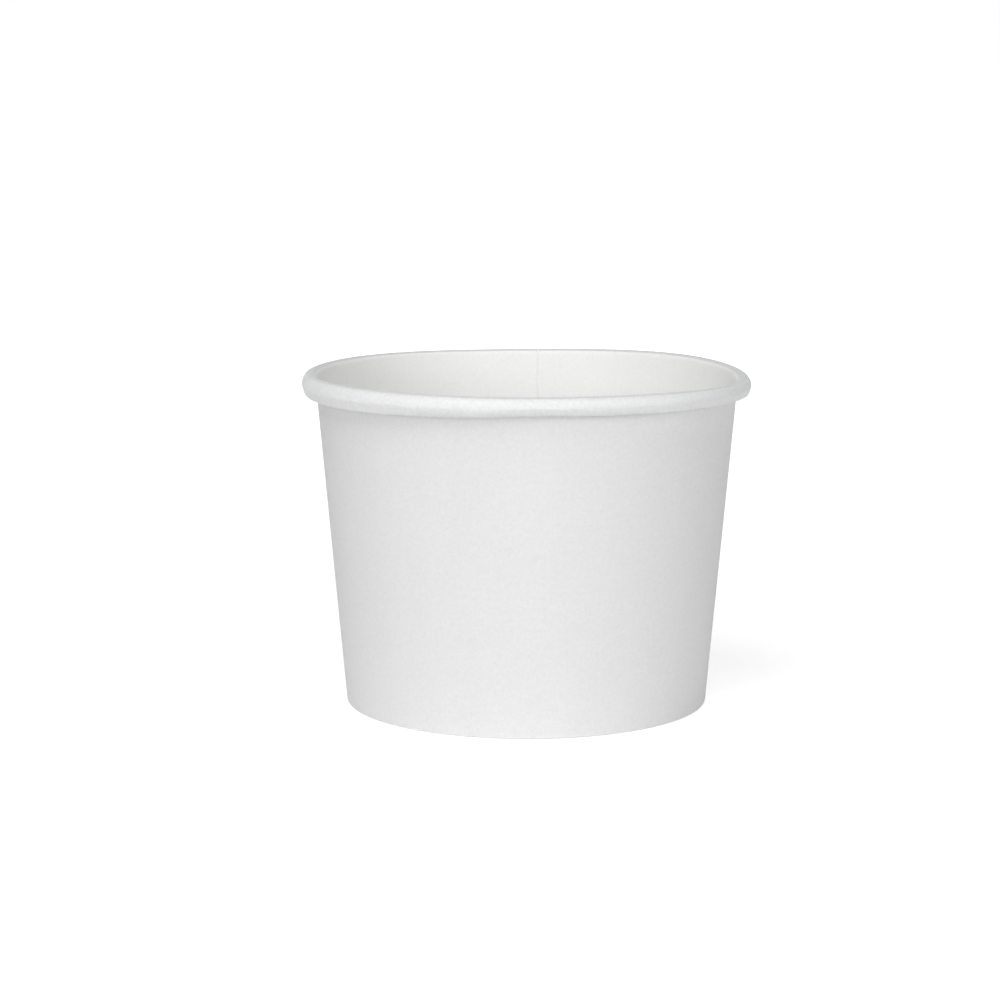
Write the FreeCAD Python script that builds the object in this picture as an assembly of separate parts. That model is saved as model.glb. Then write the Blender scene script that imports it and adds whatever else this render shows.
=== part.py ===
import FreeCAD, Part
import math
import os

# Paper sundae cup, free-standing. Z is the axis of the cup, z = 0 is the surface that its foot stands on, and
# the lap seam is at the back (+Y). Sections are drawn in the half plane of radius and height, in millimetres.

# Overall size
rim_diameter = 96.0           # over the outside of the rolled rim
foot_diameter = 77.8          # where the straight outer face of the wall would meet the ground
cup_height = 71.3

# Boards
side_board = 0.42             # coated board of the wall, rim and hem
base_board = 0.36             # thinner board of the base
seal_film = 0.03              # bonding layer between two boards

# Rolled rim: the board curls outward over the top and down, and its edge turns up again inside the roll
roll_height = 4.57
crown_bend = 1.5              # radius of the roll's top, on its visible face
roll_bulge = 0.255            # how far the roll's side stands out past the bend of its top
under_tuck = 0.25             # how much tighter the bend of its underside is
tail_clearance = 0.1          # between the board's turned-in edge and the wall
tail_curl = 95.0              # degrees that this edge curls over under the crown

# Foot: the wall's lower edge is folded in and up, around the skirt of the base
hem_height = 6.4
hem_to_bend = 0.6             # from the hem's top edge to the bend of the base
base_bend = 1.0               # radius of the drawn edge of the base

# Lap seam of the side wall. Its edges run straight up the cone, so its width grows with the radius.
seam_turn = 3.2               # degrees clockwise from the back centre line to the inner layer's edge
lap_width = 7.0               # under the roll
lap_ramp = 1.1                # over which the outer layer climbs onto the inner one
groove_width = 0.5            # of the groove beside the inner layer's edge
groove_depth = 0.25

# Wall line. It starts at the foot, and its inner face touches the bend of the roll's top.
rim_radius = rim_diameter / 2
foot_radius = foot_diameter / 2
reach = rim_radius - roll_bulge - crown_bend - foot_radius
rise = cup_height - crown_bend
tilt = math.atan2(reach, rise) - math.asin((crown_bend - side_board) / math.hypot(reach, rise))

# Directions in the section
origin = FreeCAD.Vector(0, 0, 0)
up = FreeCAD.Vector(0, 0, 1)
right = FreeCAD.Vector(1, 0, 0)
outward = FreeCAD.Vector(math.cos(tilt), 0, -math.sin(tilt))    # square to the wall

# Depths of the layers' faces inside the wall's outer face, square to the wall
wall_inner = side_board
skirt_outer = wall_inner + seal_film
skirt_inner = skirt_outer + base_board
hem_outer = skirt_inner + seal_film
hem_inner = hem_outer + side_board


def at(depth, height):
    """The point of the section at a depth inside the wall's outer face."""
    return FreeCAD.Vector(foot_radius + height * math.tan(tilt) - depth / math.cos(tilt), 0, height)


def corner(depth, height):
    return (at(depth, height),)


def arc(centre, radius, start, end):
    """The shorter arc about a centre, between two unit directions."""
    middle = (start + end).normalize()
    return tuple(centre + direction * radius for direction in (start, middle, end))


def backward(path):
    return [item[::-1] for item in reversed(path)]


def closed(path):
    """A closed wire through corners and arcs, straight in between."""
    edges = []
    for item, following in zip(path, path[1:] + path[:1]):
        if len(item) == 3:
            edges.append(Part.Arc(*item).toShape())
        if item[-1].distanceToPoint(following[0]) > 1e-6:
            edges.append(Part.LineSegment(item[-1], following[0]).toShape())
    return Part.Wire(edges)


def ring(path, start=0.0, sweep=360.0):
    """The solid that a section sweeps around the cup's axis, from a polar angle on."""
    solid = Part.Face(closed(path)).revolve(origin, up, sweep)
    solid.rotate(origin, up, start)
    return solid


# The roll's bends. The crown touches the line of the wall's inner face. The underside touches the line of the
# turned-in edge, one clearance outside the wall. Two wide arcs join them at the roll's widest point.
roll_foot = cup_height - roll_height
roll_middle = cup_height - roll_height / 2
under_bend = crown_bend - under_tuck
crown_centre = at(wall_inner - crown_bend, cup_height - crown_bend)
under_centre = at(-tail_clearance - under_bend, roll_foot + under_bend)
tail_bend = crown_bend - side_board - tail_clearance
tail_turn = math.radians(tail_curl) + tilt
tail_end = FreeCAD.Vector(-math.cos(tail_turn), 0, math.sin(tail_turn))


def flank_radius(bend, centre):
    """The radius of the arc that is upright at the roll's widest point and runs into a bend."""
    across = rim_radius - centre.x
    level = centre.z - roll_middle
    return (across ** 2 + level ** 2 - bend ** 2) / (2 * (across - bend))


upper_flank = flank_radius(crown_bend, crown_centre)
lower_flank = flank_radius(under_bend, under_centre)
upper_centre = FreeCAD.Vector(rim_radius - upper_flank, 0, roll_middle)
lower_centre = FreeCAD.Vector(rim_radius - lower_flank, 0, roll_middle)
crown_end = (crown_centre - upper_centre).normalize()
under_start = (under_centre - lower_centre).normalize()


def roll(depth):
    """The roll at a depth below its visible face, from the top of the wall to the lowest point."""
    return [
        arc(crown_centre, crown_bend - depth, -outward, up),
        arc(crown_centre, crown_bend - depth, up, crown_end),
        arc(upper_centre, upper_flank - depth, crown_end, right),
        arc(lower_centre, lower_flank - depth, right, under_start),
        arc(under_centre, under_bend - depth, under_start, -up),
    ]


def roll_tail(depth):
    """The turned-in edge, from the roll's lowest point up along the wall and over under the crown."""
    return [
        arc(under_centre, under_bend - depth, -up, -outward),
        arc(crown_centre, tail_bend - depth, -outward, tail_end),
    ]


def fold(outer_depth, inner_depth):
    """The board's outer face around the foot, between two depths."""
    return [
        arc(at(outer_depth + side_board, side_board), side_board, outward, -up),
        arc(at(inner_depth - side_board, side_board), side_board, -up, -outward),
    ]


def side_wall():
    coated = [corner(hem_outer, hem_height), corner(hem_outer, side_board), corner(wall_inner, side_board)]
    coated += roll(0) + roll_tail(0)
    plain = backward(roll(side_board) + roll_tail(side_board)) + fold(0, hem_inner)
    return ring(coated + plain + [corner(hem_inner, hem_height)])


def wall_lap(thickness):
    """Section of the lap's second layer on the wall, rooted in the middle of the first and in the fold."""
    top = under_centre.z
    root = side_board / 2
    foot = [fold(-thickness, hem_inner)[0], corner(skirt_inner, 0), corner(root, side_board)]
    return [corner(root, top), corner(-thickness, top)] + foot


def hem_lap(thickness):
    """Section of the lap's second layer on the hem."""
    root = hem_inner - side_board / 2
    face = hem_inner + thickness
    foot = [corner(root, side_board), corner(skirt_outer, 0), fold(0, face)[1]]
    return foot + [corner(face, hem_height), corner(root, hem_height)]


def lap_layer(section):
    """The lap's second layer: even over the lap, and a ramp from there down into the first layer."""
    ends = [closed(section(side_board)), closed(section(-seal_film))]
    ends[0].rotate(origin, up, inner_edge)
    ends[1].rotate(origin, up, inner_edge + ramp_angle)
    return ring(section(side_board), inner_edge - lap_angle, lap_angle).fuse(Part.makeLoft(ends, True, True))


def groove():
    """Cutter for the groove beside the inner layer's edge, over the inside of the wall and over the roll."""
    above = [corner(wall_inner + groove_depth, side_board)] + roll(-groove_depth)
    below = [corner(wall_inner - groove_depth, side_board)] + roll(groove_depth)
    return ring(above + backward(below), inner_edge, groove_angle)


def base_disc():
    """A panel across the cup with a skirt that stands between wall and hem."""
    level = hem_height + hem_to_bend + base_bend
    bend_centre = at(skirt_outer + base_bend, level - base_bend)
    foot = side_board + seal_film
    return ring([
        (FreeCAD.Vector(0, 0, level),),
        arc(bend_centre, base_bend, up, outward),
        corner(skirt_outer, foot),
        corner(skirt_inner, foot),
        arc(bend_centre, base_bend - base_board, outward, up),
        (FreeCAD.Vector(0, 0, level - base_board),),
    ])


# Polar angles of the lap. The inner layer runs clockwise from its edge, and the outer layer ends one lap on.
neck_radius = at(0, roll_foot).x
inner_edge = 90 - seam_turn
lap_angle = math.degrees(lap_width / neck_radius)
ramp_angle = math.degrees(lap_ramp / neck_radius)
groove_angle = math.degrees(groove_width / neck_radius)

wall = side_wall().fuse([lap_layer(wall_lap), lap_layer(hem_lap)]).cut(groove())

os.makedirs("parts", exist_ok=True)
wall.Solids[0].exportStep("parts/side_wall.step")
base_disc().exportStep("parts/base_disc.step")
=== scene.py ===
import math

import bpy
import numpy as np
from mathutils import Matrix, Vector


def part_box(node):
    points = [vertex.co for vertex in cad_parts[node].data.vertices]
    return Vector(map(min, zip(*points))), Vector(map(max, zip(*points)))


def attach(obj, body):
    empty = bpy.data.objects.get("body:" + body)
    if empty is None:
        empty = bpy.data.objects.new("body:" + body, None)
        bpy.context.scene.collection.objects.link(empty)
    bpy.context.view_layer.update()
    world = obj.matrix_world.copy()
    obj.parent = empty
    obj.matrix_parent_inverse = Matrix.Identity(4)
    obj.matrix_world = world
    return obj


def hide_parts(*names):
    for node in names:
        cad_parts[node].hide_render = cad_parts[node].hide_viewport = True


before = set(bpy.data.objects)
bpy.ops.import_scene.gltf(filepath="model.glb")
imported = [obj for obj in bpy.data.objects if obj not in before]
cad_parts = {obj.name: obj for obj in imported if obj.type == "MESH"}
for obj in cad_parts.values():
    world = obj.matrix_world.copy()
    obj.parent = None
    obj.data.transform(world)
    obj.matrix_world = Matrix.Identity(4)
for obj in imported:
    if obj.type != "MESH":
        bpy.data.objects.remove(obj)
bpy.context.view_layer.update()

MM = 0.001

# Side wall. One fan-shaped blank of white board, coated on the inside, rolled to a cone and sealed along a
# lap at the back. Its top edge is rolled outward and down into the rim, so the rim shows the coated face. Its
# lower edge is folded up inside, around the skirt of the base, where a knurled tool has pressed it fast.
side_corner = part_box("side_wall")[1]
rim_radius = side_corner.x
cup_height = side_corner.z
foot_radius = 38.9 * MM
board = 0.42 * MM
film = 0.03 * MM                # bonding layer between two boards
base_board = 0.36 * MM
hem_height = 6.4 * MM
fold_bend = 0.06 * MM           # inside the fold of the foot
roll_height = 4.57 * MM
crown_bend = 1.5 * MM           # the roll's top
roll_bulge = 0.255 * MM         # how far its side stands out past that bend
under_bend = 1.25 * MM          # its underside
tail_clearance = 0.1 * MM       # between its turned-in edge and the wall
tail_curl = 95                  # degrees that this edge curls over

reach = rim_radius - roll_bulge - crown_bend - foot_radius
rise = cup_height - crown_bend
tilt = math.atan2(reach, rise) - math.asin((crown_bend - board) / math.hypot(reach, rise))
tilt_degrees = math.degrees(tilt)
outward = np.array((math.cos(tilt), -math.sin(tilt)))
roll_foot = cup_height - roll_height
roll_middle = cup_height - roll_height / 2
hem_depth = board + base_board + 2 * film      # from the wall's outer face to the hem's coated face
fold_top = board + fold_bend    # height from which the coated face bends into the fold


def at(depth, height):
    """The point (radius, height) at a depth inside the wall's outer face."""
    return np.array((foot_radius + height * math.tan(tilt) - depth / math.cos(tilt), height))


def run(start, end, count, into):
    """Points along a straight stretch of a board's face, each with the direction from it into the board."""
    share = np.linspace(0, 1, count)[:, None]
    return np.hstack((start + (end - start) * share, np.tile(into, (count, 1))))


def bend(centre, radius, first, last, count, side):
    """Points around a bend of a board's face. The board lies outside it for side 1 and inside it for -1."""
    turn = np.radians(np.linspace(first, last, count))
    ray = np.column_stack((np.cos(turn), np.sin(turn)))
    return np.hstack((centre + radius * ray, side * ray))


def joined(pieces):
    """All the points in order, without the first of each piece that repeats the last of the one before."""
    return np.vstack([pieces[0]] + [piece[1:] for piece in pieces[1:]])


def flank(bend_radius, centre):
    """The radius of the arc that is upright at the roll's widest point and runs into a bend."""
    across = rim_radius - centre[0]
    level = centre[1] - roll_middle
    return (across ** 2 + level ** 2 - bend_radius ** 2) / (2 * (across - bend_radius))


crown = at(board - crown_bend, cup_height - crown_bend)
under = at(-tail_clearance - under_bend, roll_foot + under_bend)
upper_flank = flank(crown_bend, crown)
lower_flank = flank(under_bend, under)
upper_centre = np.array((rim_radius - upper_flank, roll_middle))
lower_centre = np.array((rim_radius - lower_flank, roll_middle))
crown_end = math.degrees(math.atan2(*(crown - upper_centre)[::-1]))
under_start = math.degrees(math.atan2(*(under - lower_centre)[::-1]))
tail_bend = crown_bend - board - tail_clearance
hem_corner = at(hem_depth - fold_bend, fold_top)
wall_corner = at(board + fold_bend, fold_top)
wall_top = at(board, crown[1] + crown_bend * math.sin(tilt))
rolling = 180 - tilt_degrees    # direction square to the wall, towards the cup's inside

# The coated face in section, from the hem's edge to the edge inside the roll.
hem_part = joined([
    run(at(hem_depth, hem_height), at(hem_depth, fold_top), count=5, into=-outward),
    bend(hem_corner, fold_bend, rolling, 270, count=5, side=1),
    bend(wall_corner, fold_bend, 270, 360 - tilt_degrees, count=5, side=1),
])
wall_part = run(at(board, fold_top), wall_top, count=14, into=outward)
roll_part = joined([
    bend(crown, crown_bend, rolling, crown_end, count=14, side=-1),
    bend(upper_centre, upper_flank, crown_end, 0, count=8, side=-1),
    bend(lower_centre, lower_flank, 0, under_start, count=8, side=-1),
    bend(under, under_bend, under_start, rolling - 360, count=24, side=-1),
])
tail_part = bend(crown, tail_bend, rolling, rolling - tail_curl, count=5, side=-1)
section = np.vstack((hem_part, wall_part[1:], roll_part[1:], tail_part))
part_of = np.repeat(
    ("hem", "wall", "roll", "tail"),
    (len(hem_part), len(wall_part) - 1, len(roll_part) - 1, len(tail_part)),
)
roll_steps = np.hypot(*np.diff(section[:, :2], axis=0).T) * (part_of[1:] == "roll")
roll_along = np.concatenate(((0,), np.cumsum(roll_steps)))      # distance from where the rolling starts

# The lap. Distances run around the cup at the neck, from the inner layer's edge, leftward seen from inside.
neck_radius = at(0, roll_foot)[0]
seam_turn = 3.2                 # degrees from the back centre line to the inner layer's edge
inner_edge = math.radians(90 - seam_turn)
lap_width = 7.0 * MM
lap_ramp = 1.1 * MM             # over which the outer layer climbs onto the inner one
cut_slope = 0.06 * MM           # over which the outer layer's cut edge drops
groove_fall = 0.5 * MM
groove_rise = 0.3 * MM
groove_depth = 0.2 * MM
groove_curve = 1.4              # more than 1 makes its shallow side steeper towards the bottom
lap_top = roll_foot + 0.2 * MM  # from here the second layer tucks away under the roll
lap_tuck = 0.9 * MM
rib_count = 144                 # of the knurled hem
rib_depth = 0.09 * MM
rib_margin = 0.9 * MM

# The mesh has even columns all around the cup, and closer ones in their place beside the lap's two edges.
columns_per_rib = 4
column_space = 0.12 * MM        # least distance from an even column to a closer one
seam_marks = np.array((1.5, 1.1, 0.95, 0.8, 0.65, 0.5, 0.38, 0.25, 0.12, 0, -0.15, -0.3, -0.6)) * MM
edge_marks = -lap_width + np.array((0.4, 0.06, 0, -0.4)) * MM
marks = inner_edge + np.concatenate((seam_marks, edge_marks)) / neck_radius
even = np.arange(columns_per_rib * rib_count) * math.tau / (columns_per_rib * rib_count)
clear = np.abs(even[:, None] - marks).min(axis=1) > column_space / neck_radius
side_columns = np.sort(np.concatenate((even[clear], marks)))


def smooth(value, low, high):
    """A smooth step from 0 at low to 1 at high."""
    share = np.clip((value - low) / (high - low), 0, 1)
    return share * share * (3 - 2 * share)


def seam_distance(angle):
    return (angle - inner_edge) * neck_radius


def lap_layer(angle):
    """How much of the second layer there is, from 0 to 1."""
    distance = seam_distance(angle)
    climb = 1 - smooth(distance, 0, lap_ramp)
    return climb * np.clip((distance + lap_width) / cut_slope, 0, 1)


def seam_groove(angle):
    """The depth of the groove beside the inner layer's edge."""
    distance = seam_distance(angle)
    shallow_side = np.clip(1 - distance / groove_fall, 0, 1) ** groove_curve
    steep_side = np.clip(1 + distance / groove_rise, 0, 1)
    return groove_depth * np.minimum(shallow_side, steep_side)


def knurl(height, angle):
    """Grooves that the tool has pressed into the hem."""
    from_foot = smooth(height, rib_margin, 2 * rib_margin)
    to_edge = 1 - smooth(height, hem_height - rib_margin, hem_height)
    return -rib_depth * from_foot * to_edge * (0.5 - 0.5 * np.cos(rib_count * angle))


# What rolling has pressed into the rim: short creases across it, long shallow folds low on its outer side,
# and a ridge where the board has folded over rather than rolled. All are sums of random waves around the cup.
crease_height = 0.011 * MM
crease_rise = 1.5 * MM          # distance from the start of the rolling over which creases set in
fold_height = 0.022 * MM
ridge_drop = 2.62 * MM          # below the rim's top
ridge_height = 0.075 * MM
ridge_width = 0.3 * MM
ridge_wander = 0.16 * MM        # how far it strays up and down
ridge_mean, ridge_change = 0.75, 0.45           # its strength and how much that varies
ridge_least, ridge_most = 0.15, 1.3
outer_from, outer_to = 1.2 * MM, 0.6 * MM       # inside the roll's widest line, where its outer side begins
pressed = np.random.default_rng(12)


def random_waves(count, fewest, most, slant):
    """Waves around the cup: how many of each, its slant along the section in radians per metre, its phase."""
    return (
        pressed.integers(fewest, most, count),
        pressed.normal(0, slant, count) / MM,
        pressed.uniform(0, math.tau, count),
    )


short_creases = random_waves(22, 50, 140, 1.0)
long_folds = random_waves(16, 9, 45, 3.5)
ridge_waves = random_waves(9, 4, 30, 0)
ridge_fading = random_waves(7, 3, 16, 0)


def waviness(waves, angle, along):
    """The sum of random waves at a distance along the section, mostly between -1 and 1."""
    total = sum(np.cos(count * angle + slant * along + phase) for count, slant, phase in zip(*waves))
    return total / math.sqrt(len(waves[0]))


def ridge(radius, height, angle):
    """How far the wandering ridge stands proud on the roll's outer side."""
    wander = ridge_wander * waviness(ridge_waves, angle, 0)
    strength = np.clip(ridge_mean + ridge_change * waviness(ridge_fading, angle, 0), ridge_least, ridge_most)
    offset = (height - (cup_height - ridge_drop + wander)) / ridge_width
    outer = smooth(radius, rim_radius - outer_from, rim_radius - outer_to)
    return ridge_height * strength * outer * np.exp(-offset ** 2)


# The roll's lower edge is a tight bend at the sides and the back of the cup, and slack at the front.
front = 270                     # bearing of the cup's front, in degrees
lip_height = 0.38 * MM
lip_turn, lip_spread = -50, 18  # degrees below straight outward
slack_from, slack_to = 22, 42   # degrees from the front


def lip(angle):
    """How far the tight bend stands proud, by the direction that the roll's face looks in."""
    facing = np.degrees(np.arctan2(-section[:, 3], -section[:, 2]))[:, None]
    tight = smooth(np.abs(np.degrees(angle) - front), slack_from, slack_to)
    return lip_height * tight * np.exp(-((facing - lip_turn) / lip_spread) ** 2)


def creases(angle, along, height):
    """How far creases and folds stand proud, by distance along the section and by height."""
    on_roll = smooth(along, 0, crease_rise)
    low = 1 - smooth(height, roll_foot, roll_middle)
    across = crease_height * waviness(short_creases, angle, along)
    return on_roll * (across + fold_height * low * waviness(long_folds, angle, along))


# How the rolled rim strays from a true ring, in millimetres: the mean lift of its top and of its underside,
# then the cosine and sine parts of one, two, three and four waves around the cup.
top_lift = (-0.056, (-0.185, 0.115), (-0.085, 0.157), (-0.121, 0.185), (-0.117, 0.033))
underside_lift = (0.248, (-0.025, -0.055), (-0.080, -0.288))
lift_start = 30 * MM            # height on the wall from which it follows the rim

# A short rise of the underside just right of the front.
front_lift = 0.4 * MM
front_turn, front_spread = 273, 13              # degrees


def lift_around(parts, angle):
    waves = sum(c * np.cos(k * angle) + s * np.sin(k * angle) for k, (c, s) in enumerate(parts[1:], 1))
    return (parts[0] + waves) * MM


def stray(radius, height, angle):
    """Moves points of a true cup to where the rolled rim has left them, sliding along the wall's slope."""
    top = lift_around(top_lift, angle)
    underside = lift_around(underside_lift, angle)
    underside = underside + front_lift * np.exp(-((np.degrees(angle) - front_turn) / front_spread) ** 2)
    up_the_roll = np.clip((height - roll_foot) / roll_height, 0, 1)
    lift = (underside + (top - underside) * up_the_roll) * smooth(height, lift_start, roll_foot)
    return radius + lift * math.tan(tilt), height + lift


def side_mesh():
    """The blank's points: rows along the coated face and back along the plain one, columns around the cup."""
    angle = side_columns[None, :]
    radius, height, into_radius, into_height = (column[:, None] for column in section.T)
    on_hem, on_roll, on_tail = ((part_of == part)[:, None] for part in ("hem", "roll", "tail"))
    below_roll = (1 - smooth(height, lap_top, lap_top + lap_tuck)) * ~(on_roll | on_tail)
    proud = creases(angle, roll_along[:, None], height) + ridge(radius, height, angle) + lip(angle)
    proud = proud * on_roll
    second_layer = board * lap_layer(angle) * below_roll
    coated_depth = seam_groove(angle) * ~(on_hem | on_tail) - proud
    plain_depth = board + second_layer + np.where(on_hem, knurl(height, angle), 0) - proud
    rings = []
    for depth, order in ((coated_depth, slice(None)), (plain_depth, slice(None, None, -1))):
        face_radius = (radius + into_radius * depth)[order]
        face_height = np.maximum((height + into_height * depth)[order], 0)
        rings.append(np.stack(stray(face_radius, face_height, angle), axis=-1))
    loop = np.concatenate(rings)
    x = loop[..., 0] * np.cos(angle)
    y = loop[..., 0] * np.sin(angle)
    return np.stack((x, y, loop[..., 1]), axis=-1)


edge_angle = math.radians(38)   # a steeper step between two faces is drawn as an edge


def board_object(name, grid, finish_of, finishes, centred=False):
    """A piece of board: rows of the grid run around its section, columns once around the cup.

    A section that is centred starts and ends beside the axis and is closed there at both faces. Any other
    section is a closed ring.
    """
    rows, columns = grid.shape[:2]
    number = np.arange(rows * columns).reshape(rows, columns)
    beside = np.roll(number, -1, axis=1)
    faces = np.stack((number, np.roll(number, -1, axis=0), np.roll(beside, -1, axis=0), beside), axis=-1)
    points = grid.reshape(-1, 3).tolist()
    caps = []
    if centred:
        faces = faces[:-1]
        finish_of = np.concatenate((finish_of[:-1].ravel(), finish_of[0], finish_of[-1]))
        middles = [(0, 0, grid[row, :, 2].mean()) for row in (0, -1)]
        caps += [(len(points), a, b) for a, b in zip(number[0].tolist(), beside[0].tolist())]
        caps += [(len(points) + 1, b, a) for a, b in zip(number[-1].tolist(), beside[-1].tolist())]
        points += middles
    mesh = bpy.data.meshes.new(name)
    mesh.from_pydata(points, [], faces.reshape(-1, 4).tolist() + caps)
    for finish in finishes:
        mesh.materials.append(finish)
    mesh.polygons.foreach_set("material_index", finish_of.astype(np.int32).ravel())
    mesh.shade_smooth()
    mesh.set_sharp_from_angle(angle=edge_angle)
    piece = bpy.data.objects.new(name, mesh)
    bpy.context.scene.collection.objects.link(piece)
    return piece


class Wire:
    """A shader socket. Python's operators between wires and numbers add Math nodes."""

    def __init__(self, tree, socket=None):
        self.tree = tree
        self.socket = socket

    def node(self, kind, settings, sockets, output=0):
        """Any node: its settings first, then values or wires for its sockets, and the wire of one output."""
        node = self.tree.nodes.new(kind)
        for name, value in settings.items():
            setattr(node, name, value)
        for name, value in sockets.items():
            if isinstance(value, Wire):
                self.tree.links.new(value.socket, node.inputs[name])
            else:
                node.inputs[name].default_value = value
        return Wire(self.tree, node.outputs[output])

    def math(self, operation, first, second):
        return self.node("ShaderNodeMath", {"operation": operation}, {0: first, 1: second})

    def __add__(self, other):
        return self.math("ADD", self, other)

    def __sub__(self, other):
        return self.math("SUBTRACT", self, other)

    def __rsub__(self, other):
        return self.math("SUBTRACT", other, self)

    def __mul__(self, other):
        return self.math("MULTIPLY", self, other)

    __radd__ = __add__
    __rmul__ = __mul__


# Grain that all the boards share, as features per metre. The broad one is drawn out along the wall's height.
cloud_grain, fibre_grain, broad_grain, wrinkle_grain = 1500.0, 4200.0, 110.0, 1100.0
broad_stretch = (1.0, 1.0, 0.15)
shade_low, shade_high = 0.3, 0.7                # range of the noise that spans from dark to light
roughness_change = 0.12
board_shine = 0.3


def board_finish(name, colour, mottle, roughness, fibre_height, wrinkle_height=0.0):
    """White paperboard: pressed fibres a few tenths of a millimetre long, in small clouds, and wrinkles."""
    finish = bpy.data.materials.new(name)
    finish.use_nodes = True
    tree = finish.node_tree
    shader = tree.nodes["Principled BSDF"]
    wire = Wire(tree)
    place = wire.node("ShaderNodeTexCoord", {}, {}, "Object")
    drawn_out = wire.node("ShaderNodeVectorMath", {"operation": "MULTIPLY"}, {0: place, 1: broad_stretch})

    def grain(where, scale, detail):
        return wire.node("ShaderNodeTexNoise", {}, {"Vector": where, "Scale": scale, "Detail": detail})

    cloud = grain(place, cloud_grain, 2.0)
    fibre = grain(place, fibre_grain, 3.0)
    broad = grain(drawn_out, broad_grain, 2.0)
    wrinkle = grain(place, wrinkle_grain, 2.0)
    shade = cloud * 0.55 + fibre * 0.3 + broad * 0.15
    darker = tuple(channel * (1 - mottle) for channel in colour) + (1.0,)
    lighter = tuple(min(channel * (1 + mottle), 1.0) for channel in colour) + (1.0,)
    limits = {"Value": shade, "From Min": shade_low, "From Max": shade_high}
    lightness = wire.node("ShaderNodeMapRange", {}, limits)
    tone = wire.node("ShaderNodeMix", {"data_type": "RGBA"}, {0: lightness, 6: darker, 7: lighter}, 2)
    height = (cloud * 0.5 + fibre * 0.5) * fibre_height + wrinkle * wrinkle_height
    relief = wire.node("ShaderNodeBump", {}, {"Height": height, "Distance": 1.0, "Strength": 1.0})
    tree.links.new(tone.socket, shader.inputs["Base Color"])
    tree.links.new((roughness + (fibre - 0.5) * roughness_change).socket, shader.inputs["Roughness"])
    tree.links.new(relief.socket, shader.inputs["Normal"])
    shader.inputs["Specular IOR Level"].default_value = board_shine
    return finish


# The coat is warm and smooth inside the cup, where its copy is lightened past the coat's own tone as painted
# light.
# Rolling wrinkles it. The roll's copy is darker and cooler as painted shade, and the crest's greyer and bluer
# still as painted shade.
plain_board = board_finish("uncoated_board", (0.866, 0.866, 0.866), 0.040, 0.78, 0.026 * MM)
# The warm tint is the coat's own, and its lightness past that is painted light inside the cup.
coated_board = board_finish("coated_board", (0.970, 0.975, 0.948), 0.045, 0.5, 0.018 * MM)
# Grey-blue crest colour: painted shade where the roll's top faces up, away from the lamps.
crest_shade_board = board_finish("coated_board_crest_shade", (0.790, 0.800, 0.808), 0.050, 0.55, 0.030 * MM, 0.04 * MM)
# The same coat on the roll, made darker and cooler than inside: painted shade and a painted cool tint.
rolled_board = board_finish("coated_board_of_roll", (0.874, 0.881, 0.878), 0.060, 0.55, 0.040 * MM, 0.08 * MM)
# The board's own cut-edge colour, also laid on the foot's outer fold as a painted highlight.
cut_and_highlight_board = board_finish("cut_edge_and_fold_highlight", (0.93, 0.925, 0.91), 0.03, 0.9, 0.02 * MM)

side_grid = side_mesh()
side_finishes = (coated_board, plain_board, cut_and_highlight_board, rolled_board, crest_shade_board)
COATED, PLAIN, CUT_AND_HIGHLIGHT, ROLLED, CREST_SHADE = range(5)

# Rows of faces: the coated face first, then the plain one, and one row at each edge of the board.
crest_from, crest_to = 0.85 * MM, 3.0 * MM      # distances from where the rolling starts
point_count = len(section)
side_finish = np.full(side_grid.shape[:2], PLAIN)
coated_rows = side_finish[:point_count]
coated_rows[:] = COATED
# The rows between crest_from and crest_to take the crest's painted shade, the rows beyond it the roll's copy.
coated_rows[(part_of == "roll") & (roll_along > crest_from)] = CREST_SHADE
coated_rows[(part_of == "roll") & (roll_along > crest_to)] = ROLLED
coated_rows[-1] = CUT_AND_HIGHLIGHT
side_finish[-1] = CUT_AND_HIGHLIGHT

# The outer bend of the foot takes the lighter finish of the cut edges, a painted highlight along the fold.
fold_highlight_rows = 4
fold_row = 2 * point_count - len(hem_part)
side_finish[fold_row:fold_row + fold_highlight_rows] = CUT_AND_HIGHLIGHT

# Columns of faces at the lap's cut edges: the inner layer's on the coated face, the outer one's on the plain.
column_distance = seam_distance(side_columns)
margin = 0.001 * MM
inner_cut = (column_distance > -groove_rise - margin) & (column_distance < -margin)
outer_cut = (column_distance > -lap_width - margin) & (column_distance < -lap_width + cut_slope - margin)
side_finish[len(hem_part):point_count - len(tail_part), inner_cut] = CUT_AND_HIGHLIGHT
side_finish[point_count:-1, outer_cut] = CUT_AND_HIGHLIGHT

side_piece = board_object("side_blank", side_grid, side_finish, side_finishes)
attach(side_piece, "root")
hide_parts("side_wall")

# Base. A round blank of thinner coated board, drawn into a shallow disc. Its edge is turned down as a skirt
# that the hem of the side wall holds, and the drawing leaves small puckers around the bend.
base_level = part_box("base_disc")[1].z
base_bend = 1.0 * MM
skirt_depth = board + film
skirt_foot = board + 2 * film
panel_sag = 0.12 * MM
pucker_height = 0.045 * MM
pucker_reach = 3.5 * MM
middle_radius = 0.4 * MM        # of the ring of faces that closes the panel on the axis
base_columns = 360
bend_centre = at(skirt_depth + base_bend, base_level - base_bend)


def base_face(depth):
    """The face at a depth below the coated one, from near the cup's axis out and down to the skirt's edge."""
    level = base_level - depth
    skirt_top = at(skirt_depth + depth, base_level - base_bend)
    skirt_end = at(skirt_depth + depth, skirt_foot)
    middle = np.array((middle_radius, level))
    panel = run(middle, np.array((bend_centre[0], level)), count=26, into=(0, -1))
    corner = bend(bend_centre, base_bend - depth, 90, -tilt_degrees, count=9, side=-1)
    skirt = run(skirt_top, skirt_end, count=7, into=-outward)
    return joined([panel, corner, skirt])[:, :2]


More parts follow.
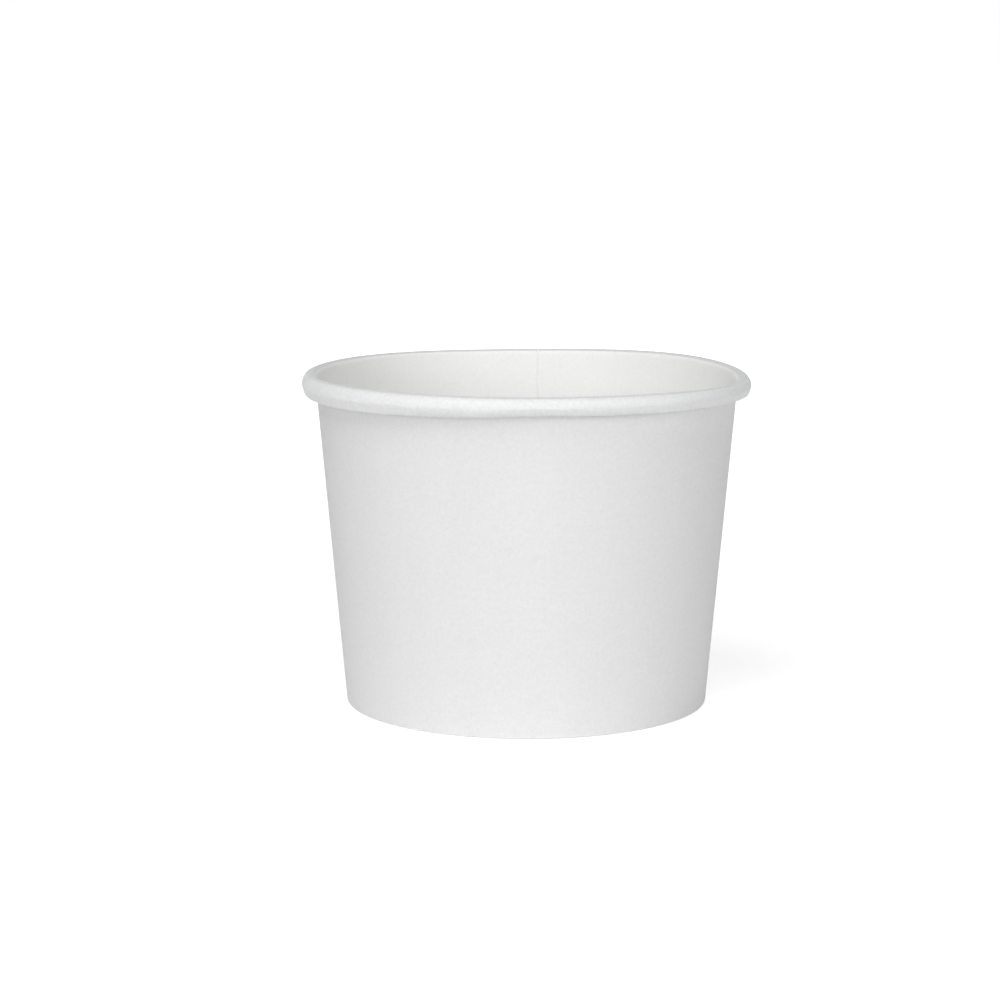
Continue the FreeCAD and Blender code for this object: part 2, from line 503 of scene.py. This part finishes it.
def puckers(angle):
    """Small uneven folds around the base, between 0 and 1."""
    main = np.cos(47 * angle + 1.3 * np.sin(5 * angle))
    minor = 0.6 * np.cos(71 * angle + 2.1 * np.sin(3 * angle))
    return np.clip((main + minor) / 1.6, 0, 1) ** 2


def base_mesh():
    angle = np.arange(base_columns)[None, :] * math.tau / base_columns
    outline = np.concatenate((base_face(0), base_face(base_board)[::-1]))
    radius, height = (column[:, None] for column in outline.T)
    near_edge = smooth(radius, bend_centre[0] - pucker_reach, bend_centre[0] + base_bend)
    near_panel = smooth(height, base_level - 3 * base_bend, base_level - base_bend)
    fold = pucker_height * puckers(angle) * near_edge * near_panel
    dip = panel_sag * (1 - (radius / bend_centre[0]) ** 2) * (radius < bend_centre[0])
    placed = radius - fold
    return np.stack((placed * np.cos(angle), placed * np.sin(angle), height - dip - fold), axis=-1)


base_grid = base_mesh()
base_points = len(base_grid) // 2
base_finish = np.full(base_grid.shape[:2], PLAIN)
base_finish[:base_points] = COATED
base_finish[base_points - 1] = CUT_AND_HIGHLIGHT
base_piece = board_object("base_blank", base_grid, base_finish, (coated_board, plain_board, cut_and_highlight_board), True)
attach(base_piece, "root")
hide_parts("base_disc")

# Camera. About 0.6 m in front of the cup and 7 cm above its rim, with the cup a little right of the centre.
camera_distance = 598.9 * MM
camera_height = 139.8 * MM
camera_pitch = 9.152            # degrees down
camera_yaw = 0.544              # degrees to the left
camera_data = bpy.data.cameras.new("camera")
camera_data.sensor_width = 36.0
camera_data.lens = 101.3
camera = bpy.data.objects.new("camera", camera_data)
camera.location = (0, -camera_distance, camera_height)
camera.rotation_euler = (math.radians(90 - camera_pitch), 0, math.radians(camera_yaw))
bpy.context.scene.collection.objects.link(camera)
bpy.context.scene.camera = camera

# Studio. A wide white floor just under the foot, a surround that is white to the camera and in a gloss and
# gives no light, and five soft lamps: two low in front, a strong one high on the left, one at the right and
# one behind the cup.
floor_reach = 20.0
floor_drop = 0.05 * MM
floor_sides = ((-1, -1), (1, -1), (1, 1), (-1, 1))
floor_corners = [(x * floor_reach, y * floor_reach, -floor_drop) for x, y in floor_sides]
floor_mesh = bpy.data.meshes.new("floor")
floor_mesh.from_pydata(floor_corners, [], [(0, 1, 2, 3)])
floor = bpy.data.objects.new("floor", floor_mesh)
bpy.context.scene.collection.objects.link(floor)


def white_to_camera(wire):
    """1 for rays that show a surface to the camera, straight, in a gloss or through glass, else 0."""
    kinds = ("Is Camera Ray", "Is Glossy Ray", "Is Transmission Ray")
    straight, in_gloss, through_glass = (wire.node("ShaderNodeLightPath", {}, {}, kind) for kind in kinds)
    return straight + in_gloss + through_glass


# The camera sees the floor lifted to white, least near the foot, where the cup's soft shadow stays.
floor_colour = (0.85, 0.85, 0.85, 1)
lift_near, lift_far = 0.58, 1.0
fade_start, fade_end = 0.08, 0.5
scatter = 0.035                 # light that a wide white floor throws back up
floor_finish = bpy.data.materials.new("white_floor")
floor_finish.use_nodes = True
floor_tree = floor_finish.node_tree
floor_wire = Wire(floor_tree)
place = floor_wire.node("ShaderNodeTexCoord", {}, {}, "Object")
away = floor_wire.node("ShaderNodeVectorMath", {"operation": "LENGTH"}, {0: place}, "Value")
lift = floor_wire.node(
    "ShaderNodeMapRange",
    {"interpolation_type": "SMOOTHSTEP"},
    {"Value": away, "From Min": fade_start, "From Max": fade_end, "To Min": lift_near, "To Max": lift_far},
)
matt = floor_wire.node("ShaderNodeBsdfDiffuse", {}, {"Color": floor_colour})
glow = floor_wire.node("ShaderNodeEmission", {}, {"Strength": white_to_camera(floor_wire) * lift + scatter})
both = floor_wire.node("ShaderNodeAddShader", {}, {0: matt, 1: glow})
floor_tree.links.new(both.socket, floor_tree.nodes["Material Output"].inputs["Surface"])
floor_mesh.materials.append(floor_finish)

world = bpy.data.worlds.new("white_surround")
world.use_nodes = True
world_wire = Wire(world.node_tree)
backdrop = world.node_tree.nodes["Background"]
backdrop.inputs["Color"].default_value = (1, 1, 1, 1)
world.node_tree.links.new(white_to_camera(world_wire).socket, backdrop.inputs["Strength"])
bpy.context.scene.world = world

lamp_distance = 1.6


def lamp(name, bearing, climb, width, watts, gleam=True):
    """A square soft lamp that faces the cup, at a bearing from the front, left negative, and an elevation."""
    light = bpy.data.lights.new(name, "AREA")
    light.size = width
    light.energy = watts
    turn, tip = math.radians(bearing), math.radians(climb)
    outside = np.array((math.sin(turn) * math.cos(tip), -math.cos(turn) * math.cos(tip), math.sin(tip)))
    holder = bpy.data.objects.new(name, light)
    holder.location = outside * lamp_distance + np.array((0, 0, cup_height / 2))
    holder.rotation_euler = (math.radians(90) - tip, 0, turn)
    holder.visible_camera = False
    holder.visible_glossy = gleam
    bpy.context.scene.collection.objects.link(holder)


lamp("front_right", bearing=25, climb=25, width=1.2, watts=8.1)
lamp("front_left", bearing=-35, climb=16, width=0.6, watts=6.2)
lamp("high_left", bearing=-35, climb=60, width=1.2, watts=13.4)
lamp("far_right", bearing=70, climb=10, width=0.5, watts=3.2)
lamp("behind", bearing=180, climb=8, width=0.4, watts=11.0, gleam=False)

bpy.context.scene.view_settings.view_transform = "Standard"
